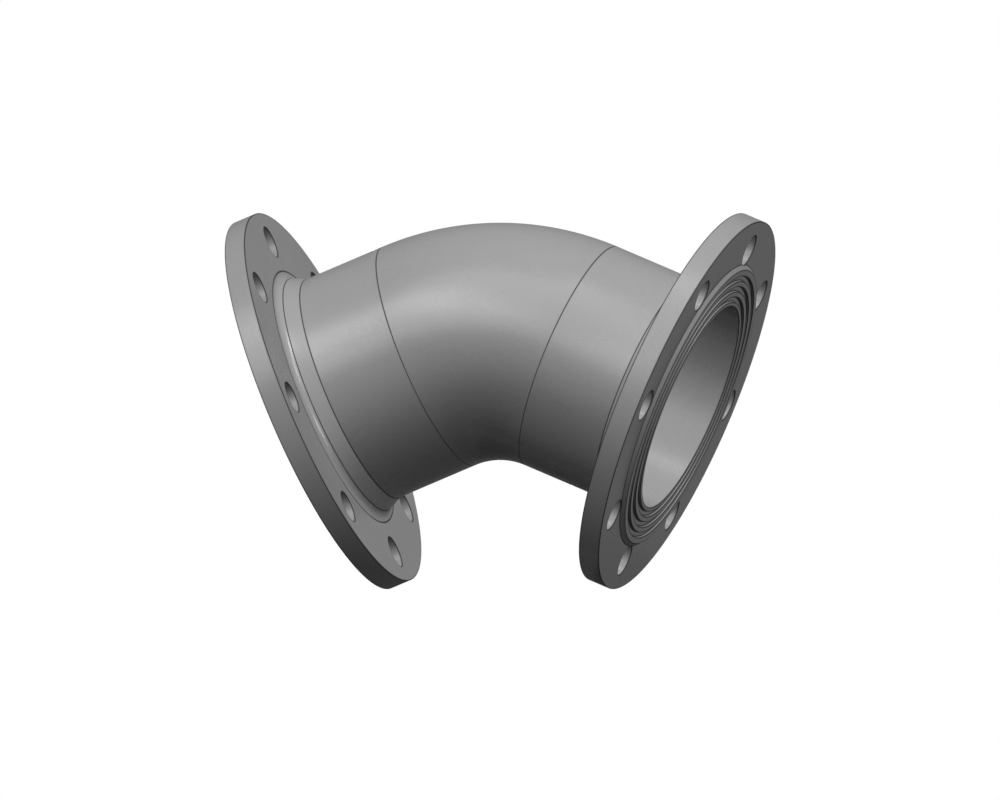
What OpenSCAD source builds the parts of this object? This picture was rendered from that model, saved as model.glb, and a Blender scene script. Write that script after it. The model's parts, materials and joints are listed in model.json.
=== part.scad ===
// Double flanged bend: a cast pipe bend with a bolted flange on each end.
// The bend stands as an arch on the lowest points of its two rims. X runs from flange to flange,
// Y lies across the bend, and Z = 0 is the surface that the rims stand on.

/* [Bend] */
// Angle through which the pipe turns
bend_angle = 45; // [20:1:75]
// Radius of the centreline round the bend
bend_radius = 138; // [120:1:180]
// Distance from the crossing of the two pipe axes to each sealing face
face_to_centre = 152.5; // [140:0.5:240]

/* [Pipe] */
// Outside diameter of the pipe
pipe_od = 170; // [164:1:176]
// Thickness of the pipe's wall
pipe_wall = 7; // [5:0.5:10]

/* [Flange] */
// Diameter over the flange's rim
flange_od = 285; // [276:1:320]
// Thickness of the flange, raised face included
flange_thickness = 19; // [15:0.5:26]
// Diameter of the raised face where it meets the gasket
raised_face_d = 212; // [206:0.5:214]
// Height of the raised face above the rim
raised_face_height = 3; // [2:0.5:4]
// How much the raised face's sloping side spreads towards the rim
raised_face_slope = 3; // [0:0.5:3.5]

/* [Hub] */
// How far the tapered hub rises above the pipe at the back of the flange
hub_rise = 7.25; // [5:0.25:9]
// Length of the tapered hub behind the flange
hub_length = 15.5; // [12:0.5:24]
// Radius of the fillet between the hub and the back of the flange
hub_fillet_r = 8; // [3:0.5:9]

/* [Sealing grooves] */
// Number of concentric grooves in the sealing face
groove_count = 3; // [0:1:3]
// Width of the flat ring between the bore and the innermost groove
inner_land = 3.2; // [1:0.1:5]
// Step in radius from one groove to the next
groove_pitch = 8.1; // [5:0.1:8.4]
// Width of each groove
groove_width = 3.9; // [2:0.1:4.5]
// Depth of each groove
groove_depth = 2; // [0.5:0.1:2.5]

/* [Bolt holes] */
// Number of bolt holes in each flange
bolt_count = 8; // [4:4:12]
// Diameter of each bolt hole
bolt_hole_d = 23; // [18:1:26]
// Width of metal between each bolt hole and the rim
rim_margin = 11; // [8:0.5:15]
// Angle between the plane of the bend and the first hole
bolt_turn = 0; // [0:0.5:45]

/* [Hidden] */
$fn = 144;

// How far a cutting tool runs past the face that it cuts
overrun = 2;
// How far each half of the elbow runs past the middle plane that trims it, in degrees
trim_angle = 2;

bore_d = pipe_od - 2 * pipe_wall;
hub_base_d = pipe_od + 2 * hub_rise;
bolt_circle_d = flange_od - 2 * rim_margin - bolt_hole_d;
half_angle = bend_angle / 2;

// Places along a pipe axis, counted from the crossing of the two axes
bend_end = bend_radius * tan(half_angle);
rim_front = face_to_centre - raised_face_height;
rim_back = face_to_centre - flange_thickness;
hub_end = rim_back - hub_length;

// The crossing of the axes stands high enough for the rims to touch the ground
crossing_height = rim_front * sin(half_angle) + flange_od / 2 * cos(half_angle);

// The fillet circle touches the back of the flange and the hub's taper
hub_taper = atan2(hub_rise, hub_length);
fillet_reach = hub_fillet_r / tan(45 + hub_taper / 2);
fillet_foot_r = hub_base_d / 2 + fillet_reach;
fillet_end_r = hub_base_d / 2 - fillet_reach * sin(hub_taper);
fillet_end = rim_back - fillet_reach * cos(hub_taper);

// Section through one arm on the outer side of its axis: X is the radius, Y the place along the axis
module arm_section() {
    difference() {
        polygon([
            [bore_d / 2, bend_end],
            [pipe_od / 2, bend_end],
            [pipe_od / 2, hub_end],
            [fillet_end_r, fillet_end],
            [fillet_foot_r, rim_back],
            [flange_od / 2, rim_back],
            [flange_od / 2, rim_front],
            [raised_face_d / 2 + raised_face_slope, rim_front],
            [raised_face_d / 2, face_to_centre],
            [bore_d / 2, face_to_centre]
        ]);
        translate([fillet_foot_r, rim_back - hub_fillet_r])
            circle(hub_fillet_r);
        for (i = [0 : 1 : groove_count - 1])
            translate([bore_d / 2 + inner_land + i * groove_pitch, face_to_centre - groove_depth])
                square([groove_width, groove_depth + overrun]);
    }
}

module bolt_holes() {
    for (i = [0 : bolt_count - 1])
        rotate([0, 0, bolt_turn + i * 360 / bolt_count])
            translate([bolt_circle_d / 2, 0, rim_back - overrun])
                cylinder(d = bolt_hole_d, h = flange_thickness + 2 * overrun);
}

// Straight end of the pipe with its hub and flange
module arm() {
    difference() {
        rotate_extrude()
            arm_section();
        bolt_holes();
    }
}

// Curved middle of the pipe, from the end of the arm to just past the middle of the bend
module half_elbow() {
    translate([bend_radius, 0, bend_end])
        rotate([90, 0, 0])
            rotate([0, 0, 180])
                rotate_extrude(angle = half_angle + trim_angle)
                    translate([bend_radius, 0])
                        difference() {
                            circle(d = pipe_od);
                            circle(d = bore_d);
                        }
}

// One half of the casting, leaning down to +X and trimmed flat at the middle of the bend
module half_bend() {
    difference() {
        rotate([0, 90 + half_angle, 0])
            union() {
                arm();
                half_elbow();
            }
        translate([-face_to_centre, 0, 0])
            cube(2 * face_to_centre, center = true);
    }
}

module bend_casting() {
    color("gray")
        translate([0, 0, crossing_height])
            union() {
                half_bend();
                mirror([1, 0, 0])
                    half_bend();
            }
}

bend_casting();
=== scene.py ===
"""Looks of the double flanged bend, a cast pipe bend with a drilled flange on each end."""
import json
import math
import bpy
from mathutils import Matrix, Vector


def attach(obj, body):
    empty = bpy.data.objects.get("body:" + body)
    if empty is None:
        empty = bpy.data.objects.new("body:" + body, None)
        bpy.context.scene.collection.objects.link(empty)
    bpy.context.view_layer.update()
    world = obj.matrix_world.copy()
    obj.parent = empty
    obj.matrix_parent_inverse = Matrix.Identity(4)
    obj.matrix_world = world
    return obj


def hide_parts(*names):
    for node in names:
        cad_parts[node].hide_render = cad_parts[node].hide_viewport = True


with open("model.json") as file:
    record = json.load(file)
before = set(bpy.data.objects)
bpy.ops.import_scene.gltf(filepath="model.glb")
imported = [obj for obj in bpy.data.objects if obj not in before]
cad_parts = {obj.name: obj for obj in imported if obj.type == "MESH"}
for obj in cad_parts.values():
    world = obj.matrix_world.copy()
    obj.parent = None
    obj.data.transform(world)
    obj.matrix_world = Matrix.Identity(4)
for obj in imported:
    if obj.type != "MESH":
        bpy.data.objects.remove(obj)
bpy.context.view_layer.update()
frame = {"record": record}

scene = bpy.context.scene

# The view. The casting is seen from the height of its middle and turned a little, in parallel projection, so
# that the back of the left flange and the sealing face of the right one both show.
VIEW_TURN = math.radians(14.15)
METRES_PER_PIXEL = 0.716e-3
PICTURE_SIZE = (1000, 800)
CROSSING_PIXEL = (499.6, 325.0)  # where the crossing of the two pipe axes lies in the picture
CAMERA_DISTANCE = 2.0

mounts = {mount["name"]: mount for mount in frame["record"]["mounts"]}
bolts = mounts["right_bolts"]
HALF_ANGLE = math.asin(-bolts["axis"][2])
rim_front = bolts["pos_m"][0] / math.cos(HALF_ANGLE)
crossing_height = bolts["pos_m"][2] + rim_front * math.sin(HALF_ANGLE)

to_right = Vector((math.cos(VIEW_TURN), math.sin(VIEW_TURN), 0))
to_camera = Vector((math.sin(VIEW_TURN), -math.cos(VIEW_TURN), 0))
up = Vector((0, 0, 1))
off_right, off_down = [(size - 1) / 2 - at for size, at in zip(PICTURE_SIZE, CROSSING_PIXEL)]
picture_middle = up * crossing_height + (to_right * off_right - up * off_down) * METRES_PER_PIXEL

lens = bpy.data.cameras.new("camera")
lens.type = "ORTHO"
lens.ortho_scale = PICTURE_SIZE[0] * METRES_PER_PIXEL
camera = bpy.data.objects.new("camera", lens)
camera.location = picture_middle + to_camera * CAMERA_DISTANCE
camera.rotation_euler = (-to_camera).to_track_quat("-Z", "Y").to_euler()
scene.collection.objects.link(camera)
scene.camera = camera
scene.view_settings.view_transform = "Standard"


# The backdrop. A plain white wall all round. It shows white, with only a hint of it in gloss, and sends out
# no light of its own.
class Number:
    """A socket that carries one number. An operator on it adds a Math node to its tree."""

    def __init__(self, tree, socket):
        self.tree = tree
        self.socket = socket

    def math(self, operation, *others, clamp=False):
        return self.tree.math(operation, self, *others, clamp=clamp)

    def __add__(self, other):
        return self.math("ADD", other)

    def __sub__(self, other):
        return self.math("SUBTRACT", other)

    def __rsub__(self, other):
        return self.tree.math("SUBTRACT", other, self)

    def __mul__(self, other):
        return self.math("MULTIPLY", other)

    def __truediv__(self, other):
        return self.math("DIVIDE", other)

    def __neg__(self):
        return self.math("MULTIPLY", -1)

    def __abs__(self):
        return self.math("ABSOLUTE")

    __radd__ = __add__
    __rmul__ = __mul__


class Tree:
    """A node tree under construction."""

    def __init__(self, tree):
        self.tree = tree
        tree.nodes.clear()

    def add(self, kind, settings=None, sockets=None):
        """Adds a node of any type, with its settings and then its sockets' values or links."""
        node = self.tree.nodes.new(kind)
        for name, value in (settings or {}).items():
            setattr(node, name, value)
        for key, values in (sockets or {}).items():
            for value in values if isinstance(values, list) else [values]:
                if isinstance(value, Number):
                    value = value.socket
                if isinstance(value, bpy.types.Node):
                    value = value.outputs[0]
                if isinstance(value, bpy.types.NodeSocket):
                    self.tree.links.new(value, node.inputs[key])
                else:
                    node.inputs[key].default_value = value
        return node

    def number(self, socket):
        return Number(self, socket)

    def math(self, operation, *values, clamp=False):
        settings = {"operation": operation, "use_clamp": clamp}
        return self.number(self.add("ShaderNodeMath", settings, dict(enumerate(values))).outputs[0])


WALL_WHITE = (1, 1, 1, 1)
GLOSS_SHARE = 0.15  # the matt coat shows only a hint of its surroundings


def shown_share(tree):
    """1 to the eye, also through glass, less in gloss, and 0 where a surface would only give light."""
    ray = tree.add("ShaderNodeLightPath").outputs
    seen = tree.number(ray["Is Camera Ray"]) + tree.number(ray["Is Glossy Ray"]) * GLOSS_SHARE
    return seen.math("ADD", ray["Is Transmission Ray"], clamp=True)


world = bpy.data.worlds.new("studio")
scene.world = world
world.use_nodes = True
air = Tree(world.node_tree)
backdrop = air.add("ShaderNodeBackground", {}, {"Color": WALL_WHITE, "Strength": shown_share(air)})
air.add("ShaderNodeOutputWorld", {}, {"Surface": backdrop})

# The casting. One piece of ductile iron, poured in a sand mould: a bend of 45 degrees between two straight
# ends, each with a tapered hub and a flange. Rims, sealing faces and bolt holes are machined, and the whole
# is coated.
PIPE_RADIUS = 0.085
BORE_RADIUS = 0.078
BEND_RADIUS = 0.138
HUB_RADIUS = 0.09225
HUB_LENGTH = 0.0155
HUB_FILLET = 0.008
FLANGE_THICKNESS = 0.019
RIM_RADIUS = 0.1425
RAISED_RADIUS = 0.106
RAISED_HEIGHT = 0.003
RAISED_SPREAD = 0.003
GROOVES = 3
GROOVE_PITCH = 0.0081
GROOVE_WIDTH = 0.0039
GROOVE_DEPTH = 0.002
INNER_LAND = 0.0032
HOLE_RADIUS = bolts["dims"]["hole_r_mm"] / 1000
HOLE_CIRCLE = bolts["dims"]["pcd_mm"] / 2000
HOLES = bolts["dims"]["count"]
EDGE_BREAK = 0.00025  # rounding of the machined edges
FINE_BREAK = 0.00015  # rounding of the grooves' edges
PIPE_SIDES = 216
HOLE_SIDES = 48
BEND_STEPS = 48
FILLET_STEPS = 12
EDGE_STEPS = 3
SHARP_ANGLE = math.radians(10)
FLAT_FACE = 0.9999  # share of a face's normal along the axis, past which it is flat
DRILL_OVERRUN = 0.002
MERGE_REACH = 0.00002  # joins the slivers that the drills leave

# The section is drawn along a straight axis, counted from the middle of the bend, and bent afterwards
bend_half = BEND_RADIUS * HALF_ANGLE
bend_end = BEND_RADIUS * math.tan(HALF_ANGLE)
front = rim_front - bend_end + bend_half
sealing = front + RAISED_HEIGHT
back = sealing - FLANGE_THICKNESS
hub_end = back - HUB_LENGTH

# Corners of the section of one half, outside to inside: radius, place along the axis, rounding and its steps
bend_places = [bend_half * (2 * step / BEND_STEPS - 1) for step in range(BEND_STEPS + 1)]
corners = [
    (PIPE_RADIUS, hub_end, EDGE_BREAK, EDGE_STEPS),
    (HUB_RADIUS, back, HUB_FILLET, FILLET_STEPS),
    (RIM_RADIUS, back, EDGE_BREAK, EDGE_STEPS),
    (RIM_RADIUS, front, EDGE_BREAK, EDGE_STEPS),
    (RAISED_RADIUS + RAISED_SPREAD, front, EDGE_BREAK, EDGE_STEPS),
    (RAISED_RADIUS, sealing, EDGE_BREAK, EDGE_STEPS),
]
for groove in reversed(range(GROOVES)):
    inner = BORE_RADIUS + INNER_LAND + groove * GROOVE_PITCH
    outer = inner + GROOVE_WIDTH
    floor_place = sealing - GROOVE_DEPTH
    for radius, place in ((outer, sealing), (outer, floor_place), (inner, floor_place), (inner, sealing)):
        corners.append((radius, place, FINE_BREAK, EDGE_STEPS))
corners.append((BORE_RADIUS, sealing, EDGE_BREAK, EDGE_STEPS))

section_points = (
    [(PIPE_RADIUS, place, 0, 1) for place in bend_places]
    + corners
    + [(BORE_RADIUS, place, 0, 1) for place in reversed(bend_places)]
    + [(radius, -place, rounding, steps) for radius, place, rounding, steps in reversed(corners)]
)
count = len(section_points)
outline = bpy.data.meshes.new("section")
outline.from_pydata(
    [(radius - PIPE_RADIUS, -place, 0) for radius, place, rounding, steps in section_points],
    [(i, (i + 1) % count) for i in range(count)],
    [],
)
roundings = outline.attributes.new("rounding", "FLOAT", "POINT")
roundings.data.foreach_set("value", [rounding for radius, place, rounding, steps in section_points])
rounding_steps = outline.attributes.new("steps", "INT", "POINT")
rounding_steps.data.foreach_set("value", [steps for radius, place, rounding, steps in section_points])
section = bpy.data.objects.new("section", outline)

# Half of the drill's side: place from the middle of the flange, and radius with the edge break
flange_middle = (front + back) / 2
half_rim = (front - back) / 2
drill_half = [
    (0, HOLE_RADIUS),
    (half_rim - EDGE_BREAK, HOLE_RADIUS),
    (half_rim, HOLE_RADIUS + EDGE_BREAK),
    (half_rim + DRILL_OVERRUN, HOLE_RADIUS + EDGE_BREAK),
]
drill_side = [(-place, radius) for place, radius in reversed(drill_half[1:])] + drill_half
drill_line = bpy.data.meshes.new("drill")
drill_line.from_pydata(
    [(0, 0, place) for place, radius in drill_side], [(i, i + 1) for i in range(len(drill_side) - 1)], []
)
widths = drill_line.attributes.new("width", "FLOAT", "POINT")
widths.data.foreach_set("value", [radius / HOLE_RADIUS for place, radius in drill_side])
drill = bpy.data.objects.new("drill", drill_line)

iron = bpy.data.materials.new("coated_iron")
iron.use_nodes = True

group = bpy.data.node_groups.new("casting", "GeometryNodeTree")
casting_tree = Tree(group)
group.interface.new_socket("Casting", in_out="OUTPUT", socket_type="NodeSocketGeometry")
casting_inputs = {
    "Section": ("NodeSocketObject", section),
    "Drill": ("NodeSocketObject", drill),
    "Finish": ("NodeSocketMaterial", iron),
    "Pipe sides": ("NodeSocketInt", PIPE_SIDES),
    "Hole sides": ("NodeSocketInt", HOLE_SIDES),
    "Sharp angle": ("NodeSocketFloat", SHARP_ANGLE),
    "Pipe radius": ("NodeSocketFloat", PIPE_RADIUS),
    "Bend radius": ("NodeSocketFloat", BEND_RADIUS),
    "Half angle": ("NodeSocketFloat", HALF_ANGLE),
    "Holes": ("NodeSocketInt", HOLES),
    "Hole radius": ("NodeSocketFloat", HOLE_RADIUS),
    "Hole circle": ("NodeSocketFloat", HOLE_CIRCLE),
    "Flange middle": ("NodeSocketFloat", flange_middle),
    "Crossing height": ("NodeSocketFloat", crossing_height),
}
for name, (kind, value) in casting_inputs.items():
    group.interface.new_socket(name, in_out="INPUT", socket_type=kind)
add = casting_tree.add
given = add("NodeGroupInput").outputs


def curve_of(name):
    """The named input object's edges, as a curve."""
    shape = add("GeometryNodeObjectInfo", {}, {"Object": given[name]})
    return add("GeometryNodeMeshToCurve", {}, {"Mesh": shape.outputs["Geometry"]})


def own(name, kind="FLOAT"):
    """The value that the named attribute gives each point."""
    return add("GeometryNodeInputNamedAttribute", {"data_type": kind}, {"Name": name}).outputs["Attribute"]


# The section turned about the axis gives the whole casting, still straight
rounded = add(
    "GeometryNodeFilletCurve",
    {"mode": "POLY"},
    {
        "Curve": curve_of("Section"),
        "Count": own("steps", "INT"),
        "Radius": own("rounding"),
        "Limit Radius": True,
    },
)
circle = add(
    "GeometryNodeCurvePrimitiveCircle",
    {},
    {"Resolution": given["Pipe sides"], "Radius": given["Pipe radius"]},
)
turned = add("GeometryNodeCurveToMesh", {}, {"Curve": circle, "Profile Curve": rounded})

# One drill for each hole of both flanges
drill_circle = add(
    "GeometryNodeCurvePrimitiveCircle",
    {},
    {"Resolution": given["Hole sides"], "Radius": given["Hole radius"]},
)
one_drill = add(
    "GeometryNodeCurveToMesh",
    {},
    {"Curve": curve_of("Drill"), "Profile Curve": drill_circle, "Scale": own("width"), "Fill Caps": True},
)
hole_places = add(
    "GeometryNodeMeshCircle", {}, {"Vertices": given["Holes"], "Radius": given["Hole circle"]}
)
drills = []
for side in (-1, 1):
    shift = add("ShaderNodeCombineXYZ", {}, {"Z": casting_tree.number(given["Flange middle"]) * side})
    at_flange = add("GeometryNodeTransform", {}, {"Geometry": hole_places, "Translation": shift})
    drills.append(add("GeometryNodeInstanceOnPoints", {}, {"Points": at_flange, "Instance": one_drill}))
joined_drills = add("GeometryNodeJoinGeometry", {}, {0: drills})
all_drills = add("GeometryNodeRealizeInstances", {}, {"Geometry": joined_drills})
drilled = add(
    "GeometryNodeMeshBoolean",
    {"operation": "DIFFERENCE", "solver": "MANIFOLD"},
    {"Mesh 1": turned, "Mesh 2": all_drills},
)
cleaned = add("GeometryNodeMergeByDistance", {}, {"Geometry": drilled, "Distance": MERGE_REACH})

# Round surfaces are shaded smooth, while those square to the axis and the sharp edges stay crisp
facing = add("ShaderNodeSeparateXYZ", {}, {0: add("GeometryNodeInputNormal")}).outputs["Z"]
round_faces = abs(casting_tree.number(facing)).math("LESS_THAN", FLAT_FACE)
smoothed = add(
    "GeometryNodeSetShadeSmooth", {"domain": "FACE"}, {"Geometry": cleaned, "Shade Smooth": round_faces}
)
edge_turn = casting_tree.number(add("GeometryNodeInputMeshEdgeAngle").outputs["Unsigned Angle"])
sharp = edge_turn.math("GREATER_THAN", given["Sharp angle"])
shaded = add(
    "GeometryNodeSetShadeSmooth",
    {"domain": "EDGE"},
    {"Geometry": smoothed, "Selection": sharp, "Shade Smooth": False},
)

# The straight place of each point is kept for the finish, then the bend is made in the middle
straight = add("GeometryNodeInputPosition")
marked = add(
    "GeometryNodeStoreNamedAttribute",
    {"data_type": "FLOAT_VECTOR", "domain": "POINT"},
    {"Geometry": shaded, "Name": "straight", "Value": straight},
)
outwards, across, along = [
    casting_tree.number(socket) for socket in add("ShaderNodeSeparateXYZ", {}, {0: straight}).outputs
]
bend_radius = casting_tree.number(given["Bend radius"])
half_angle = casting_tree.number(given["Half angle"])
turn = (along / bend_radius).math("MAXIMUM", -half_angle).math("MINIMUM", half_angle)
beyond = along - turn * bend_radius
sine = turn.math("SINE")
cosine = turn.math("COSINE")
distance = bend_radius + outwards
lift = casting_tree.number(given["Crossing height"]) - bend_radius / half_angle.math("COSINE")
bent_place = add(
    "ShaderNodeCombineXYZ",
    {},
    {"X": distance * sine + beyond * cosine, "Y": across, "Z": distance * cosine - beyond * sine + lift},
)
bent = add("GeometryNodeSetPosition", {}, {"Geometry": marked, "Position": bent_place})
finished = add("GeometryNodeSetMaterial", {}, {"Geometry": bent, "Material": given["Finish"]})
add("NodeGroupOutput", {}, {0: add("GeometryNodeRealizeInstances", {}, {"Geometry": finished})})

raw = bpy.data.objects.new("raw_casting", bpy.data.meshes.new("raw_casting"))
scene.collection.objects.link(raw)
maker = raw.modifiers.new("casting", "NODES")
maker.node_group = group
for item in group.interface.items_tree:
    if item.in_out == "INPUT":
        maker[item.identifier] = casting_inputs[item.name][1]
evaluated = raw.evaluated_get(bpy.context.evaluated_depsgraph_get())
casting_mesh = bpy.data.meshes.new_from_object(evaluated)
casting_mesh.name = "casting"
casting = bpy.data.objects.new("casting", casting_mesh)
scene.collection.objects.link(casting)
bpy.data.objects.remove(raw)
print("casting", len(casting_mesh.vertices), "vertices", len(casting_mesh.polygons), "faces")

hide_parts("bend_casting")
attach(casting, "root")

# The finish. A thin matt grey coat over the whole casting. The skin of the bend keeps the fine grain of the
# sand, the flanges show the turning tool's rings, and a painted dark line of shade runs along every edge.
COAT_GREY = (0.36, 0.36, 0.36)
# Painted shade: a dark line painted along every edge and seam, filling creases and groove walls
PAINTED_SHADE_GREY = (0.03, 0.03, 0.03, 1)
CORNER_LINE = 0.0011  # reach of the line to each side of a sharp edge
SKIN_LINE = 0.0006  # reach of the line where the surface runs through smoothly
FOOT_LINE = 0.0010  # reach of the line at the foot of the fillet
FINE_LINE = 0.0007  # reach of the lines at the hub's end and along the raised face's sloping side
LINE_ROUGHNESS = 0.6  # how much rougher the line is than the coat
LINE_CORE = 0.3  # share of the reach that is fully dark
PAINTED_SHADE_STRENGTH = 0.95
FINE_GRAIN = 700  # grains to the metre
COARSE_GRAIN = 160
FINE_SHARE = 0.6  # of the grain's height, the rest is coarse
GRAIN_DEPTH = 0.0002
GRAIN_STRENGTH = 0.4
GRAIN_LOSS = 0.8  # how much of the grain the turning tool takes off
TURNING_PITCH = 0.0016
RING_HEIGHT = 0.12  # of the turning rings, as a share of the grain's depth
RING_SHADE = 0.025  # how much the turning rings lighten and darken the coat
CLOUDS = 18  # patches to the metre where the coat is lighter or darker
CLOUD_SHADE = 0.08
SPECKS = 350
SPECK_SHADE = 0.06
GLOSS_PATCHES = 45  # patches to the metre where the coat is duller
LEAST_ROUGHNESS = 0.24
ROUGHNESS_SPREAD = 0.08

coat = Tree(iron.node_tree)
kept = coat.add("ShaderNodeAttribute", {"attribute_name": "straight"}).outputs["Vector"]
kept_axes = coat.add("ShaderNodeSeparateXYZ", {}, {0: kept}).outputs
across_x, across_y, along_z = [coat.number(socket) for socket in kept_axes]
radius_squared = across_x * across_x + across_y * across_y
radius = radius_squared.math("SQRT")
reach = abs(along_z)


def square(value):
    return value * value


def nearest(values):
    least = values[0]
    for value in values[1:]:
        least = least.math("MINIMUM", value)
    return least


# Where the fillet leaves the hub and where it meets the back of the flange
taper = math.atan2(HUB_RADIUS - PIPE_RADIUS, HUB_LENGTH)
fillet_reach = HUB_FILLET / math.tan((math.pi / 2 + taper) / 2)
fine_edges = (PIPE_RADIUS, RAISED_RADIUS, RAISED_RADIUS + RAISED_SPREAD)
# The edges that get the painted shade line: each corner of the section, and the seams of bend, fillet and
# hub
rings = [
    (edge_radius, place, FINE_LINE if edge_radius in fine_edges else CORNER_LINE)
    for edge_radius, place, rounding, steps in corners
    if rounding != HUB_FILLET
]
rings += [
    (PIPE_RADIUS, bend_half, SKIN_LINE),
    (HUB_RADIUS + fillet_reach, back, FOOT_LINE),
    (HUB_RADIUS - fillet_reach * math.sin(taper), back - fillet_reach * math.cos(taper), SKIN_LINE),
]


def apart(radius_gap, place_gap, line_reach):
    """Square of the distance from an edge, as a share of the reach of its painted shade line."""
    return (square(radius_gap) + square(place_gap)) / line_reach**2


ring_distances = [
    apart(radius - ring_radius, reach - place, line_reach) for ring_radius, place, line_reach in rings
]

# The holes' rims, which get the painted shade line too, by the way round to the nearest hole
hole_step = 2 * math.pi / HOLES
angle = across_y.math("ARCTAN2", across_x) / hole_step
swing = (angle - angle.math("ROUND")) * hole_step
hole_squared = radius_squared + HOLE_CIRCLE**2 - 2 * HOLE_CIRCLE * radius * swing.math("COSINE")
hole_wall = hole_squared.math("SQRT") - HOLE_RADIUS
hole_distances = [apart(hole_wall, reach - place, CORNER_LINE) for place in (front, back)]

# Painted shade: fully dark at the core of each edge line, fading to the coat's own grey at its reach
edge_distance = nearest(ring_distances + hole_distances).math("SQRT")
painted_edge_shade = coat.number(
    coat.add(
        "ShaderNodeMapRange",
        {"interpolation_type": "SMOOTHSTEP"},
        {"Value": edge_distance, "From Min": 1.0, "From Max": LINE_CORE, "To Max": PAINTED_SHADE_STRENGTH},
    ).outputs[0]
)

position = coat.add("ShaderNodeTexCoord").outputs["Object"]


def noise(scale, detail=2):
    """Soft patches from 0 to 1, as many to the metre as the scale says."""
    patches = coat.add("ShaderNodeTexNoise", {}, {"Vector": position, "Scale": scale, "Detail": detail})
    return coat.number(patches.outputs[0])


turned_face = reach.math("GREATER_THAN", back + EDGE_BREAK)
grain = noise(FINE_GRAIN) * FINE_SHARE + noise(COARSE_GRAIN) * (1 - FINE_SHARE)
tool_path = (radius + reach) * (2 * math.pi / TURNING_PITCH)
rings_cut = tool_path.math("SINE") * turned_face
height = grain * (1 - turned_face * GRAIN_LOSS) + rings_cut * RING_HEIGHT
bump = coat.add(
    "ShaderNodeBump", {}, {"Height": height, "Strength": GRAIN_STRENGTH, "Distance": GRAIN_DEPTH}
)

least_shade = 1 - (CLOUD_SHADE + SPECK_SHADE) / 2  # so that the coat's mean grey stays about as written
clouds = noise(CLOUDS, detail=3) * CLOUD_SHADE
mottle = clouds + noise(SPECKS) * SPECK_SHADE + rings_cut * RING_SHADE + least_shade
worn = coat.add("ShaderNodeVectorMath", {"operation": "SCALE"}, {0: COAT_GREY, "Scale": mottle})
FIRST_COLOUR, SECOND_COLOUR, MIXED_COLOUR = 6, 7, 2  # places of the colour sockets on a mix
# The coat's grey, with the painted dark shade line mixed over it along the edges
colour = coat.add(
    "ShaderNodeMix",
    {"data_type": "RGBA"},
    {"Factor": painted_edge_shade, FIRST_COLOUR: worn, SECOND_COLOUR: PAINTED_SHADE_GREY},
).outputs[MIXED_COLOUR]
roughness = noise(GLOSS_PATCHES) * ROUGHNESS_SPREAD + LEAST_ROUGHNESS + painted_edge_shade * LINE_ROUGHNESS
skin = coat.add(
    "ShaderNodeBsdfPrincipled", {}, {"Base Color": colour, "Roughness": roughness, "Normal": bump}
)
coat.add("ShaderNodeOutputMaterial", {}, {"Surface": skin})

# The floor. A plain pale sheet just under the lowest points of both rims, which keeps the casting's shadow.
# It throws no light back, and gloss shows only a hint of it.
FLOOR_SIZE = 6.0
FLOOR_PALE = (0.8, 0.8, 0.8, 1)
FLOOR_DARK = (0.0, 0.0, 0.0, 1)
floor_mesh = bpy.data.meshes.new("floor")
floor_half = FLOOR_SIZE / 2
floor_corners = [(x * floor_half, y * floor_half, 0) for x, y in ((-1, -1), (1, -1), (1, 1), (-1, 1))]
floor_mesh.from_pydata(floor_corners, [], [(0, 1, 2, 3)])
floor = bpy.data.objects.new("floor", floor_mesh)
scene.collection.objects.link(floor)
paper = bpy.data.materials.new("pale_paper")
paper.use_nodes = True
floor_mesh.materials.append(paper)
sheet = Tree(paper.node_tree)
dark = sheet.add("ShaderNodeBsdfDiffuse", {}, {"Color": FLOOR_DARK})
pale = sheet.add("ShaderNodeBsdfDiffuse", {}, {"Color": FLOOR_PALE})
seen_floor = sheet.add("ShaderNodeMixShader", {}, {0: shown_share(sheet), 1: dark, 2: pale})
sheet.add("ShaderNodeOutputMaterial", {}, {"Surface": seen_floor})

# The lamps. Six soft lamps light the casting from both sides and from above, a faint one from below and one
# from behind. They throw no shadow on it, so that holes and bore stay as open to the eye as in the picture.
# Two lamps light the floor alone.
# Each lamp: degrees to the right of the camera, degrees up, strength, width in degrees, what it lights,
# whether it throws a shadow, and whether its light is thrown on from surface to surface, as in the bore
LAMPS = {
    "left_lamp": (-32, 26, 0.19, 27, casting, False, False),
    "top_lamp": (-33, 51, 0.287, 45, casting, False, False),
    "side_lamp": (-48, 42, 0.121, 20, casting, False, False),
    "right_top_lamp": (35, 62, 0.33, 15, casting, False, True),
    "right_middle_lamp": (51, 42, 0.191, 14, casting, False, False),
    "right_lamp": (64, 8, 0.205, 14, casting, False, False),
    "under_lamp": (20, -60, 0.045, 90, casting, False, False),
    "back_lamp": (180, 0, 0.5, 2, casting, False, False),
    "floor_lamp": (-20, 63, 0.75, 35, floor, True, True),
    "floor_fill_lamp": (0, 90, 0.40, 35, floor, False, True),
}
for name, (right, height, strength, width, target, shadow, bounces) in LAMPS.items():
    lamp = bpy.data.lights.new(name, "SUN")
    lamp.energy = strength * math.pi  # at strength 1 a surface that faces the lamp shows its own colour
    lamp.angle = math.radians(width)
    lamp.use_shadow = shadow
    if not bounces:
        lamp.cycles.max_bounces = 0
    lamp_object = bpy.data.objects.new(name, lamp)
    right_angle = math.radians(right)
    up_angle = math.radians(height)
    level = to_right * math.sin(right_angle) + to_camera * math.cos(right_angle)
    direction = level * math.cos(up_angle) + up * math.sin(up_angle)
    lamp_object.rotation_euler = direction.to_track_quat("Z", "Y").to_euler()
    lit = bpy.data.collections.new(name + "_target")
    lit.objects.link(target)
    lamp_object.light_linking.receiver_collection = lit
    scene.collection.objects.link(lamp_object)
